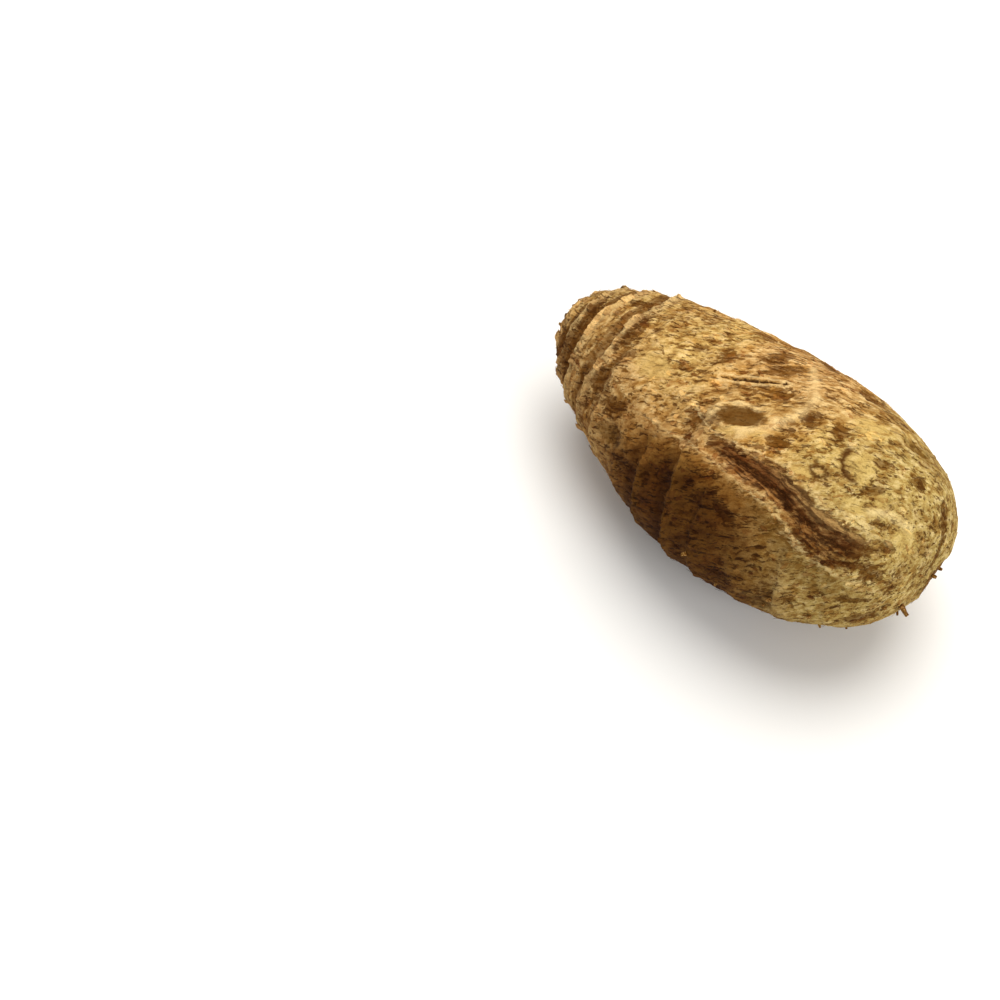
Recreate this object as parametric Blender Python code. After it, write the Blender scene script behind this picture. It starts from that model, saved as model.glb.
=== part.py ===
# A whole taro corm lying on its side, as one solid, in metres.
# +X runs from the crown, where the leaves grew, to the rounded base. +Z is up.
# The origin is on the surface it lies on, under the middle of its box.
# Angles round the corm start at the front (-Y) and rise over the top (90 degrees is +Z).
import math
import random

import bmesh
import bpy
from mathutils import Matrix, Vector, noise

# Main body
LENGTH = 0.196
WIDTH = 0.1025
HEIGHT = 0.0990
LEAN = 1.42  # over 1 moves the widest place towards the base
FULLNESS = 0.36  # 0.5 is an ellipse, less is blunter
BOW = 0.0055  # how far the ends curve to one side of a straight axis
BOW_ANGLE = 154.0
END_CALM = 0.35  # the relief dies away where the girth is less than this share

# The spot that it rests on, under its weight
REST_TILT = 4.4  # degrees that the base end is raised
REST_ALONG = 0.108
REST_LENGTH = 0.034
REST_SPREAD = 24.0  # degrees round the corm
REST_CALM = 0.85  # share of the relief that is lost there
FLAT_DEPTH = 0.0013  # taken off the underside

# Leaf-scar rings, close together at the crown and wider apart towards the base
RINGS = 13
RING_SPREAD = 1.40
RING_LIFT_CROWN = 0.0014
RING_LIFT_BODY = 0.0008
RING_LIFT_FADE = 0.045  # distance along the corm over which the crown's lift fades to the body's
RING_SLANT = 0.0026
RING_WAVE = 0.0016
RING_RIPPLE = 0.4  # share of the wave
RING_FADE = 0.85  # share of its lift that a body ring loses on its faintest side
RING_SEED = 11

# Uneven growth
LUMP_SIZE = 0.050
LUMP_HEIGHT = 0.0026
LUMP_SHIFT = (1.7, 0.9, 2.3)
KNOB_SIZE = 0.017
KNOB_HEIGHT = 0.0009
KNOB_SHIFT = (3.0, 5.0, 9.0)
RIB_COUNT = 5
RIB_HEIGHT = 0.0007
RIB_TWIST = 2.0  # radians

# Long furrow, where the bark has shrunk and split
FURROW_START = 0.070
FURROW_END = 0.186
FURROW_ANGLE = 57.5
FURROW_DROP = 13.0  # degrees that it bends down over its length, mostly near its end
FURROW_WIDTH = 0.0048
FURROW_DEPTH = 0.0019
FURROW_LIP = 0.0007
FURROW_FADE = 0.020  # at each end
FURROW_WANDER = 4.0  # degrees
FURROW_WANDER_LENGTH = 0.030
LIP_PLACE = 1.7  # in furrow widths from its middle
LIP_WIDTH = 0.8

# Side buds, one on the crown's side of a ring at each turn of the golden angle
FIRST_BUD_RING = 5
LAST_BUD_RING = 12
GOLDEN_ANGLE = 137.5
BUD_START_ANGLE = 277.1
BUD_ABOVE_RING = 0.38  # share of the way to the ring before
BUD_TURN = 24.0  # degrees that its long way is turned from the corm's axis
BUD_RADIUS = 0.0040
BUD_STRETCH = 2.2
BUD_DEPTH = 0.0016
BUD_RIM = 0.0007
BUD_DENT_WIDTH = 0.8  # in bud radii
BUD_RIM_PLACE = 1.35
BUD_RIM_WIDTH = 0.45

# Scar at the base, where the corm broke from its parent
BASE_SCAR_RADIUS = 0.013
BASE_SCAR_DEPTH = 0.0022

# Mesh
COLUMNS = 72
ROW_PLACES = (0.0, 0.15, 0.40, 0.70, 0.94)  # from one ring's crest to the groove before the next


def clear_scene():
    for old in list(bpy.data.objects):
        bpy.data.objects.remove(old, do_unlink=True)


def smooth_step(low, high, value):
    share = min(1.0, max(0.0, (value - low) / (high - low)))
    return share * share * (3.0 - 2.0 * share)


def bell(distance, width):
    return math.exp(-((distance / width) ** 2))


def turn_between(first, second):
    """Signed difference of two angles in degrees, from -180 to 180."""
    return (first - second + 180.0) % 360.0 - 180.0


def outward(angle):
    """Unit vector square to the axis at an angle round the corm."""
    turn = math.radians(angle)
    return Vector((0.0, -math.cos(turn), math.sin(turn)))


def girth(along):
    """Share of the full half-width at a distance from the crown."""
    share = min(1.0, max(0.0, along / LENGTH))
    return math.sin(math.pi * share**LEAN) ** FULLNESS if 0.0 < share < 1.0 else 0.0


def ring_waves():
    """Slant and wave of each ring, drawn once."""
    draw = random.Random(RING_SEED)
    return [
        {
            "slant": RING_SLANT * draw.uniform(0.3, 1.0),
            "slant_angle": draw.uniform(0.0, 360.0),
            "wave": RING_WAVE * draw.uniform(0.4, 1.0),
            "wave_angle": draw.uniform(0.0, 360.0),
            "strength": draw.uniform(0.45, 1.0),
            "faint_angle": draw.uniform(0.0, 360.0),
        }
        for _ in range(RINGS + 1)
    ]


def ring_shift(waves, ring, angle):
    """How far a ring strays along the corm at an angle."""
    one = waves[ring]
    slant = one["slant"] * math.cos(math.radians(angle - one["slant_angle"]))
    wave = one["wave"] * math.cos(math.radians(2.0 * angle - one["wave_angle"]))
    ripple = RING_RIPPLE * one["wave"] * math.cos(math.radians(5.0 * angle + one["slant_angle"]))
    return slant + wave + ripple


def distance_along(waves, place, angle):
    """Distance from the crown of a place counted in rings, at an angle."""
    share = place / RINGS
    ring = min(int(place), RINGS - 1)
    part = place - ring
    shift = (1.0 - part) * ring_shift(waves, ring, angle) + part * ring_shift(waves, ring + 1, angle)
    calm = math.sin(math.pi * share) ** 0.5 if 0.0 < share < 1.0 else 0.0
    return LENGTH * share**RING_SPREAD + calm * min(1.0, place / 3.0) * shift


def ring_relief(waves, place, along, angle):
    """A rim that stands out at each ring, then falls away to the groove before the next."""
    ring = min(int(place), RINGS - 1)
    part = place - ring
    one = waves[ring]
    faint = 0.5 + 0.5 * math.cos(math.radians(angle - one["faint_angle"]))
    body = RING_LIFT_BODY * one["strength"] * (1.0 - RING_FADE * faint)
    lift = body + (RING_LIFT_CROWN - body) * math.exp(-along / RING_LIFT_FADE)
    inside = smooth_step(0.0, 0.9, place) * (1.0 - smooth_step(RINGS - 1.0, RINGS - 0.3, place))
    return lift * inside * (1.5 * (1.0 - part) ** 1.5 - 0.5)


def furrow_relief(along, angle, radius):
    """A long groove with a raised lip on each side."""
    wander = FURROW_WANDER * noise.noise(Vector((along / FURROW_WANDER_LENGTH, 7.0, 0.0)))
    drop = FURROW_DROP * max(0.0, (along - FURROW_START) / (FURROW_END - FURROW_START)) ** 3
    across = math.radians(turn_between(angle, FURROW_ANGLE + wander - drop)) * radius
    fade = smooth_step(FURROW_START, FURROW_START + FURROW_FADE, along)
    fade *= 1.0 - smooth_step(FURROW_END - FURROW_FADE, FURROW_END, along)
    lip = bell(abs(across) - LIP_PLACE * FURROW_WIDTH, LIP_WIDTH * FURROW_WIDTH)
    return fade * (FURROW_LIP * lip - FURROW_DEPTH * bell(across, FURROW_WIDTH))


def side_buds(waves):
    """Distance along and angle of each bud."""
    found = []
    for ring in range(FIRST_BUD_RING, LAST_BUD_RING + 1):
        angle = (BUD_START_ANGLE + GOLDEN_ANGLE * ring) % 360.0
        found.append((distance_along(waves, ring - BUD_ABOVE_RING, angle), angle))
    return found


def bud_relief(buds, along, angle, radius):
    """An oval dent with a rim, which lies a little askew to the corm's axis."""
    height = 0.0
    turn = math.radians(BUD_TURN)
    for bud_along, bud_angle in buds:
        ahead = along - bud_along
        across = math.radians(turn_between(angle, bud_angle)) * radius
        long_way = (ahead * math.cos(turn) + across * math.sin(turn)) / BUD_STRETCH
        short_way = across * math.cos(turn) - ahead * math.sin(turn)
        distance = math.hypot(long_way, short_way)
        height += BUD_RIM * bell(distance - BUD_RIM_PLACE * BUD_RADIUS, BUD_RIM_WIDTH * BUD_RADIUS)
        height -= BUD_DEPTH * bell(distance, BUD_DENT_WIDTH * BUD_RADIUS)
    return height


def growth_relief(point, angle, share):
    """Lumps, knobs and faint long ribs."""
    lumps = LUMP_HEIGHT * noise.noise(point / LUMP_SIZE + Vector(LUMP_SHIFT))
    knobs = KNOB_HEIGHT * noise.noise(point / KNOB_SIZE + Vector(KNOB_SHIFT))
    ribs = RIB_HEIGHT * math.cos(math.radians(RIB_COUNT * angle) + RIB_TWIST * share)
    return lumps + knobs + ribs


def corm_point(waves, buds, place, angle):
    """A point on the corm's skin, about its own straight axis."""
    along = distance_along(waves, place, angle)
    share = along / LENGTH
    out = outward(angle)
    round_part = Vector((0.0, out.y * WIDTH / 2.0, out.z * HEIGHT / 2.0)) * girth(along)
    radius = max(round_part.length, 0.001)
    level = Vector((along, 0.0, 0.0)) + round_part

    height = growth_relief(level, angle, share)
    height += ring_relief(waves, place, along, angle)
    height += furrow_relief(along, angle, radius)
    height += bud_relief(buds, along, angle, radius)

    # The relief dies away at the two ends and round the spot that the corm rests on.
    height *= smooth_step(0.0, END_CALM, girth(along))
    rest = bell(turn_between(angle, 270.0), REST_SPREAD) * bell(along - REST_ALONG, REST_LENGTH)
    height *= 1.0 - REST_CALM * rest

    scar = BASE_SCAR_DEPTH * bell(radius, BASE_SCAR_RADIUS) if share > 0.5 else 0.0
    bow = outward(BOW_ANGLE) * BOW * (2.0 * share - 1.0) ** 2
    return level + out * height + bow - Vector((scar, 0.0, 0.0))


def corm_mesh():
    """A globe of faces drawn out into the corm, with a row of points on every rim and groove."""
    waves = ring_waves()
    buds = side_buds(waves)
    places = [ring + part for ring in range(RINGS) for part in ROW_PLACES][1:]
    rows = len(places) + 1

    shape = bmesh.new()
    bmesh.ops.create_uvsphere(shape, u_segments=COLUMNS, v_segments=rows, radius=1.0)
    for vert in shape.verts:
        row = round(math.acos(max(-1.0, min(1.0, vert.co.z))) / math.pi * rows)
        angle = math.degrees(math.atan2(vert.co.y, vert.co.x)) % 360.0
        place = 0.0 if row == 0 else float(RINGS) if row == rows else places[row - 1]
        vert.co = corm_point(waves, buds, place, angle)
    bmesh.ops.recalc_face_normals(shape, faces=shape.faces)
    return shape


def lay_down(shape):
    """Tips the corm to its resting slope, slices the flat spot and centres it over the origin."""
    bmesh.ops.rotate(
        shape,
        verts=shape.verts,
        cent=(LENGTH / 2.0, 0.0, 0.0),
        matrix=Matrix.Rotation(math.radians(-REST_TILT), 3, "Y"),
    )
    floor = min(vert.co.z for vert in shape.verts) + FLAT_DEPTH
    everything = shape.verts[:] + shape.edges[:] + shape.faces[:]
    bmesh.ops.bisect_plane(
        shape, geom=everything, plane_co=(0.0, 0.0, floor), plane_no=(0.0, 0.0, -1.0), clear_outer=True
    )
    rim = [edge for edge in shape.edges if edge.is_boundary]
    bmesh.ops.edgeloop_fill(shape, edges=rim)
    bmesh.ops.recalc_face_normals(shape, faces=shape.faces)

    xs = [vert.co.x for vert in shape.verts]
    ys = [vert.co.y for vert in shape.verts]
    middle = Vector(((min(xs) + max(xs)) / 2.0, (min(ys) + max(ys)) / 2.0, floor))
    bmesh.ops.translate(shape, verts=shape.verts, vec=-middle)


def skin_material():
    material = bpy.data.materials.new("corm_skin")
    material.use_nodes = True
    shader = material.node_tree.nodes["Principled BSDF"]
    shader.inputs["Base Color"].default_value = (0.40, 0.24, 0.085, 1.0)
    shader.inputs["Roughness"].default_value = 0.82
    shader.inputs["Metallic"].default_value = 0.0
    return material


def build_corm(collection):
    shape = corm_mesh()
    lay_down(shape)
    mesh = bpy.data.meshes.new("taro_corm")
    shape.to_mesh(mesh)
    shape.free()
    mesh.shade_smooth()
    mesh.materials.append(skin_material())
    corm = bpy.data.objects.new("taro_corm", mesh)
    collection.objects.link(corm)
    return corm


def main():
    clear_scene()
    collection = bpy.data.collections.new("taro_root")
    bpy.context.scene.collection.children.link(collection)
    build_corm(collection)


main()
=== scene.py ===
import math
import random

import bmesh
import bpy
import numpy as np
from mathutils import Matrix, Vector, noise


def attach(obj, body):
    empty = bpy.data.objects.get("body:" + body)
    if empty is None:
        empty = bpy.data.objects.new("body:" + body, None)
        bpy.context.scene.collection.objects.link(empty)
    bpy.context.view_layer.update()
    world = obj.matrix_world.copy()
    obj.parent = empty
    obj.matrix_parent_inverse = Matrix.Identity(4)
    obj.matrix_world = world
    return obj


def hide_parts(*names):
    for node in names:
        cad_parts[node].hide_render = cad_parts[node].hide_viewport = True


# A whole taro corm lying on a pale studio floor, in metres, with +Z up.
# Its crown is at 0 along its own axis. Angles round it start at the front (-Y) and rise over the top.

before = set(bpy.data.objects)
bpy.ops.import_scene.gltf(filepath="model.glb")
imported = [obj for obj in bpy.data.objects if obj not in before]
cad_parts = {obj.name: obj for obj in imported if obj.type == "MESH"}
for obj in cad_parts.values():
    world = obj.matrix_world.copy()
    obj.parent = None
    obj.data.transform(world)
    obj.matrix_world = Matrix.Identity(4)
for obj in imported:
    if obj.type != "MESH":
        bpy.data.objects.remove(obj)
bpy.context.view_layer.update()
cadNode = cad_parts["taro_corm"]
print("frame loaded")

# how the corm grew: the same rule as the frame's solid follows
growth = {
    "length": 0.196,
    "axisStart": (-0.09734, 0.00013, 0.04720),  # the crown's end of the axis, before the tilt
    "tilt": 4.4,  # degrees that the base end is raised
    "bow": 0.0055,
    "bowAngle": 154.0,
    "rings": 13,
    "ringSpread": 1.40,
    "ringSlant": 0.0026,
    "ringWave": 0.0016,
    "ringRipple": 0.4,
    "ringSeed": 11,
    "crownLift": 0.0014,
    "bodyLift": 0.0008,
    "liftFade": 0.045,
    "faintShare": 0.85,
}

# places on the corm: along its axis in metres, then degrees round it
spots = {
    "furrow": {
        "start": 0.070,
        "end": 0.186,
        "angle": 57.5,
        "drop": 13.0,
        "wander": 4.0,
        "wave": 0.030,
        "fade": 0.020,
        "ahead": 0.004,
        "beyond": 0.006,
    },
    "furrowWidths": ((0.040, 1.30), (0.085, 1.00), (0.108, 0.60), (0.170, 1.50)),  # along, then width
    "buds": {"first": 5, "last": 12, "angle": 277.1, "golden": 137.5, "above": 0.38, "radius": 0.0040},
    "budShape": {"turn": 24.0, "stretch": 2.2},
    "mainBud": {"along": 0.1102, "angle": 74.6, "radius": 0.0040, "turn": 24.0, "stretch": 2.2},
    "eye": {"along": 0.1595, "angle": 91.0, "radius": 0.0078},
    "knot": {"along": 0.1493, "angle": 74.1, "radius": 0.0022, "turn": 20.0, "stretch": 1.5},
    "baseScar": {"side": 0.008, "up": -0.013, "radius": 0.0095},  # where it broke from its parent
    "cracks": (((0.0900, 87.2), (0.1010, 94.0), (0.1130, 103.2)),),
    "crackThins": 0.0004,
    "ridges": (
        ((0.1110, 125.0), (0.1274, 102.8), (0.1271, 88.3), (0.1217, 76.7), (0.1144, 67.8)),
        ((0.1730, 72.4), (0.1756, 76.2), (0.1785, 79.5), (0.1822, 81.3), (0.1856, 80.4)),
    ),
}

# stains, and one painted shade on the crown's lower side: place along, angle, half length, half width, turn
# of the long way, strength
darkMarks = (
    (0.0429, 81, 0.0085, 0.0034, 89, 1.3),
    (0.0483, 63, 0.0036, 0.0024, 57, 0.8),
    (0.0513, 91, 0.0030, 0.0023, 68, 0.7),
    (0.0723, 96, 0.0034, 0.0028, 41, 0.7),
    (0.0746, 81, 0.0044, 0.0028, 4, 0.7),
    (0.0984, 65, 0.0075, 0.0031, 26, 0.8),
    (0.0989, 51, 0.0034, 0.0020, 15, 1.0),
    (0.0999, 118, 0.0080, 0.0031, 65, 0.8),
    (0.1081, 112, 0.0080, 0.0027, 55, 1.0),
    (0.0849, 101, 0.0044, 0.0025, 44, 0.8),
    (0.1149, 96, 0.0050, 0.0042, 20, 0.8),
    (0.1308, 93, 0.0042, 0.0048, 44, 0.6),
    (0.1290, 74, 0.0050, 0.0024, 32, 0.8),
    (0.1448, 98, 0.0039, 0.0038, 41, 0.7),
    (0.1644, 100, 0.0035, 0.0023, 56, 0.8),
    (0.1684, 84, 0.0052, 0.0014, 54, 0.9),
    (0.1770, 110, 0.0032, 0.0035, 66, 0.8),
    (0.1850, 60, 0.0018, 0.0018, 1, 1.5),
    (0.1900, 126, 0.0042, 0.0022, 0, 1.0),
    (0.1768, 49, 0.0055, 0.0034, 24, 1.0),
    (0.1812, 72, 0.0050, 0.0020, 22, 0.5),
    (0.1757, 37, 0.0085, 0.0013, 20, 1.6),
    (0.1853, 36, 0.0030, 0.0022, 60, 1.2),
    (0.1828, 11, 0.0040, 0.0010, -5, 1.5),
    (0.1545, 39, 0.0095, 0.0024, -14, 1.0),
    (0.1265, 33, 0.0060, 0.0026, -18, 0.9),
    (0.1854, 347, 0.0043, 0.0032, -52, 0.9),
    (0.0857, 130, 0.0044, 0.0045, 70, 0.8),
    (0.1137, 140, 0.0049, 0.0070, 65, 0.8),
    (0.1353, 133, 0.0040, 0.0050, -4, 0.8),
    (0.0180, 76, 0.0110, 0.0020, -83, 1.0),
    (0.0330, 111, 0.0070, 0.0025, 18, 0.9),
    # painted shade on the crown's lower side
    (0.0160, 33, 0.0090, 0.0080, 34, 0.8),
    (0.0440, 44, 0.0080, 0.0065, 60, 0.65),
    (0.0560, 36, 0.0060, 0.0050, 20, 0.6),
)
paleMarks = (
    (0.0640, 70, 0.0090, 0.0055, 10, 0.9),
    (0.1590, 91, 0.0062, 0.0060, 0, 0.7),
    (0.1150, 69.5, 0.0095, 0.0020, 28, 1.0),
    (0.1440, 69, 0.0045, 0.0016, 15, 1.0),
    (0.1660, 70, 0.0070, 0.0030, 10, 0.7),
    (0.1500, 110, 0.0090, 0.0060, 20, 0.7),
    (0.1740, 85, 0.0060, 0.0040, 20, 0.6),
    (0.0250, 95, 0.0110, 0.0024, 88, 0.9),
    (0.1825, 14, 0.0085, 0.0080, 0, 0.4),
    (0.1880, 70, 0.0050, 0.0070, 0, 0.7),
)


# wires: arithmetic on node sockets, the same for materials and geometry
class wire:
    def __init__(self, tree, socket):
        self.tree = tree
        self.socket = socket

    def node(self, kind, settings, values, out=0):  # any node: its settings first, then its sockets
        made = self.tree.nodes.new(kind)
        for name, value in settings.items():
            setattr(made, name, value)
        for key, value in values.items():
            if isinstance(value, wire):
                self.tree.links.new(value.socket, made.inputs[key])
            else:
                made.inputs[key].default_value = value
        return wire(self.tree, made.outputs[out])

    def also(self, out):  # another output of the same node
        return wire(self.tree, self.socket.node.outputs[out])

    def math(self, operation, *others):
        return self.node("ShaderNodeMath", {"operation": operation}, dict(enumerate((self, *others))))

    def vector(self, operation, *others, out=0):
        values = dict(enumerate((self, *others)))
        return self.node("ShaderNodeVectorMath", {"operation": operation}, values, out)

    def times(self, factor):  # a vector made longer or shorter
        return self.node("ShaderNodeVectorMath", {"operation": "SCALE"}, {0: self, "Scale": factor})

    def __add__(self, other):
        return self.math("ADD", other)

    def __radd__(self, other):
        return self.math("ADD", other)

    def __sub__(self, other):
        return self.math("SUBTRACT", other)

    def __rsub__(self, other):
        return (self * -1.0) + other

    def __mul__(self, other):
        return self.math("MULTIPLY", other)

    def __rmul__(self, other):
        return self.math("MULTIPLY", other)

    def __truediv__(self, other):
        return self.math("DIVIDE", other)

    def __rtruediv__(self, other):
        return (self ** -1.0) * other

    def __pow__(self, other):
        return self.math("POWER", other)

    def step(self, low, high):  # smooth step from 0 at low to 1 at high
        values = {0: self, 1: low, 2: high, 3: 0.0, 4: 1.0}
        return self.node("ShaderNodeMapRange", {"interpolation_type": "SMOOTHSTEP"}, values)

    def bell(self, width):
        return ((self / width) ** 2.0 * -1.0).math("EXPONENT")

    def scaled(self, x, y, z):
        return self.vector("MULTIPLY", (x, y, z))

    def grain(self, size, detail=2.0, roughness=0.5):  # noise with features of about this size
        values = {"Vector": self, "Scale": 1.0 / size, "Detail": detail, "Roughness": roughness}
        return self.node("ShaderNodeTexNoise", {"noise_dimensions": "3D"}, values)

    def stir(self, scale):  # noise in three directions, each from -0.5 to 0.5
        values = {"Vector": self, "Scale": scale}
        noisy = self.node("ShaderNodeTexNoise", {"noise_dimensions": "3D"}, values, 1)
        return noisy.vector("SUBTRACT", (0.5, 0.5, 0.5))

    def blend(self, first, second, way="MIX"):  # colours: first where the wire is 0, second where it is 1
        values = {0: self, 6: first, 7: second}
        return self.node("ShaderNodeMix", {"data_type": "RGBA", "blend_type": way}, values, 2)

    def stored(self, name, kind="FLOAT"):  # a value that is written on the geometry
        return self.node("GeometryNodeInputNamedAttribute", {"data_type": kind}, {"Name": name})

    def store(self, name, value, domain="POINT", kind="FLOAT"):  # this geometry with a value written on it
        values = {"Geometry": self, "Name": name, "Value": value}
        return self.node("GeometryNodeStoreNamedAttribute", {"data_type": kind, "domain": domain}, values)

    def painted(self, name, out=2):  # a value written on the mesh, in a material
        return self.node("ShaderNodeAttribute", {"attribute_name": name}, {}, out)


def geometryTree(name, sizes):
    tree = bpy.data.node_groups.new(name, "GeometryNodeTree")
    tree.interface.new_socket("Geometry", in_out="INPUT", socket_type="NodeSocketGeometry")
    for label, value in sizes.items():
        kind = "NodeSocketInt" if isinstance(value, int) else "NodeSocketFloat"
        tree.interface.new_socket(label, in_out="INPUT", socket_type=kind).default_value = value
    tree.interface.new_socket("Geometry", in_out="OUTPUT", socket_type="NodeSocketGeometry")
    start = tree.nodes.new("NodeGroupInput")
    return tree, {socket.name: wire(tree, socket) for socket in start.outputs if socket.name}


def endTree(tree, geometry, material):  # every tree ends in real geometry with its material
    real = geometry.node("GeometryNodeRealizeInstances", {}, {"Geometry": geometry})
    done = real.node("GeometryNodeSetMaterial", {}, {"Geometry": real, "Material": material})
    out = tree.nodes.new("NodeGroupOutput")
    tree.links.new(done.socket, out.inputs[0])


def addObject(name, data):
    made = bpy.data.objects.new(name, data)
    bpy.context.scene.collection.objects.link(made)
    return made


def plainMesh(holder):  # the mesh that an object's modifiers make, in place of the object
    bpy.context.view_layer.update()
    graph = bpy.context.evaluated_depsgraph_get()
    made = bpy.data.meshes.new_from_object(holder.evaluated_get(graph), depsgraph=graph)
    bpy.data.objects.remove(holder)
    return made


def grow(name, mesh, tree, sizes):  # runs a tree on a mesh and keeps the result as a plain mesh
    holder = addObject(name + "_holder", mesh)
    modifier = holder.modifiers.new("growth", "NODES")
    modifier.node_group = tree
    for item in tree.interface.items_tree:
        if item.in_out == "INPUT" and item.name in sizes:
            modifier[item.identifier] = sizes[item.name]
    made = plainMesh(holder)
    made.name = name
    piece = addObject(name, made)
    print(name, "has", sum(len(face.vertices) - 2 for face in made.polygons), "triangles")
    return piece


def keep(piece, replaced=None):  # the frame's calls for a finished piece
    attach(piece, "root")
    if replaced:
        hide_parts(replaced)


def paint(*screen):  # a colour seen on a screen, 0 to 255, as a linear one
    linear = [((part / 255 + 0.055) / 1.055) ** 2.4 if part > 10 else part / 3295 for part in screen]
    return (*linear, 1.0)


def startMaterial(name):
    material = bpy.data.materials.new(name)
    material.use_nodes = True
    return material


def endMaterial(material, colour, rough, height, finish):
    tree = material.node_tree
    shader = tree.nodes["Principled BSDF"]
    values = {"Height": height, "Strength": finish["bump"], "Distance": finish["depth"]}
    bump = height.node("ShaderNodeBump", {}, values)
    for made, label in ((colour, "Base Color"), (rough, "Roughness"), (bump, "Normal")):
        tree.links.new(made.socket, shader.inputs[label])
    shader.inputs["Specular IOR Level"].default_value = finish["specular"]
    return material


# the corm's own coordinates
def turnBetween(first, second):
    return (first - second + 180.0) % 360.0 - 180.0


def angleRound(local):
    return np.degrees(np.arctan2(local[:, 2], -local[:, 1])) % 360.0


def intoCorm(points):  # points in the frame, as seen from the corm's straight axis
    tilt = math.radians(growth["tilt"])
    half = growth["length"] / 2
    moved = points - np.array(growth["axisStart"]) - np.array((half, 0.0, 0.0))
    along = moved[:, 0] * math.cos(tilt) + moved[:, 2] * math.sin(tilt) + half
    up = moved[:, 2] * math.cos(tilt) - moved[:, 0] * math.sin(tilt)
    bow = growth["bow"] * (2.0 * along / growth["length"] - 1.0) ** 2
    bowTurn = math.radians(growth["bowAngle"])
    side = moved[:, 1] + math.cos(bowTurn) * bow
    up = up - math.sin(bowTurn) * bow
    return np.column_stack((along, side, up))


def ringDraws():
    draw = random.Random(growth["ringSeed"])
    spans = {
        "slant": (0.3, 1.0),
        "slantAngle": (0.0, 360.0),
        "wave": (0.4, 1.0),
        "waveAngle": (0.0, 360.0),
        "strength": (0.45, 1.0),
        "faintAngle": (0.0, 360.0),
    }
    rings = range(growth["rings"] + 1)
    return [{name: draw.uniform(*span) for name, span in spans.items()} for _ in rings]


def ringPlace(draws, ring, angle):  # distance along of a ring, at each angle
    one = draws[ring]
    wave = growth["ringWave"] * one["wave"]
    shift = growth["ringSlant"] * one["slant"] * np.cos(np.radians(angle - one["slantAngle"]))
    shift = shift + wave * np.cos(np.radians(2.0 * angle - one["waveAngle"]))
    shift = shift + growth["ringRipple"] * wave * np.cos(np.radians(5.0 * angle + one["slantAngle"]))
    share = ring / growth["rings"]
    calm = math.sqrt(math.sin(math.pi * share)) * min(1.0, ring / 3.0)
    return growth["length"] * share ** growth["ringSpread"] + calm * shift


def ringFields(along, angle):  # signed gap to the nearest ring, its strength, and how far off the next one is
    draws = ringDraws()
    gap = np.full(len(along), 1.0)
    second = np.full(len(along), 1.0)
    weight = np.zeros(len(along))
    for ring in range(1, growth["rings"]):
        away = along - ringPlace(draws, ring, angle)
        one = draws[ring]
        faint = 0.5 + 0.5 * np.cos(np.radians(angle - one["faintAngle"]))
        body = growth["bodyLift"] * one["strength"] * (1.0 - growth["faintShare"] * faint)
        lift = body + (growth["crownLift"] - body) * np.exp(-along / growth["liftFade"])
        nearer = np.abs(away) < np.abs(gap)
        second = np.minimum(second, np.where(nearer, np.abs(gap), np.abs(away)))
        gap = np.where(nearer, away, gap)
        weight = np.where(nearer, lift / growth["crownLift"], weight)
    return gap, weight, second - np.abs(gap)


def furrowFields(along, angle, radius):  # distance across the furrow, and how open it is there
    one = spots["furrow"]
    steps = np.linspace(0.0, growth["length"], 120)
    sway = [one["wander"] * noise.noise(Vector((step / one["wave"], 7.0, 0.0))) for step in steps]
    share = np.clip((along - one["start"]) / (one["end"] - one["start"]), 0.0, None)
    middle = one["angle"] + np.interp(along, steps, sway) - one["drop"] * share**3
    across = np.radians(turnBetween(angle, middle)) * radius / np.interp(along, *zip(*spots["furrowWidths"]))
    opened = np.clip((along - one["start"] + one["ahead"]) / one["fade"], 0.0, 1.0)
    opened *= np.clip((one["end"] + one["beyond"] - along) / one["fade"], 0.0, 1.0)
    return across, opened


def ovalGap(along, angle, radius, centre, size, turn=0.0, stretch=1.0):  # 1 on an oval's edge
    ahead = along - centre[0]
    across = np.radians(turnBetween(angle, centre[1])) * radius
    turned = math.radians(turn)
    longWay = (ahead * math.cos(turned) + across * math.sin(turned)) / stretch
    shortWay = across * math.cos(turned) - ahead * math.sin(turned)
    return np.hypot(longWay, shortWay) / size


def budFields(along, angle, radius):
    one, shape = spots["buds"], spots["budShape"]
    draws = ringDraws()
    gap = np.full(len(along), 9.0)
    for ring in range(one["first"], one["last"] + 1):
        turned = (one["angle"] + one["golden"] * ring) % 360.0
        before = ringPlace(draws, ring - 1, turned)
        place = before + (1.0 - one["above"]) * (ringPlace(draws, ring, turned) - before)
        here = ovalGap(along, angle, radius, (place, turned), one["radius"], shape["turn"], shape["stretch"])
        gap = np.minimum(gap, here)
    return gap


def lineGap(along, angle, radius, lines, thin=0.0):  # distance from the nearest line, thinner at its ends
    gap = np.full(len(along), 1.0)
    for line in lines:
        for step, (start, end) in enumerate(zip(line, line[1:])):
            across = np.radians(turnBetween(angle, start[1])) * radius
            ahead = along - start[0]
            longer = end[0] - start[0]
            rounder = math.radians(end[1] - start[1]) * radius
            share = np.clip((ahead * longer + across * rounder) / (longer**2 + rounder**2), 0.0, 1.0)
            here = np.hypot(ahead - share * longer, across - share * rounder)
            middle = 2.0 * (step + share) / (len(line) - 1) - 1.0
            gap = np.minimum(gap, here + thin * middle**2)
    return gap


def stainDepth(along, angle, radius, marks):  # 1 in the middle of a mark, fading out
    depth = np.zeros(len(along))
    for place, turned, length, width, turn, strength in marks:
        gap = ovalGap(along, angle, radius, (place, turned), width, turn, length / width)
        depth = np.maximum(depth, strength * np.exp(-0.7 * gap**2))
    return depth


def writeOn(mesh, name, values):  # one number or one vector for each point
    kind, key = ("FLOAT_VECTOR", "vector") if values.ndim == 2 else ("FLOAT", "value")
    mesh.attributes.new(name, kind, "POINT").data.foreach_set(key, values.astype(np.float32).ravel())


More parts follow.
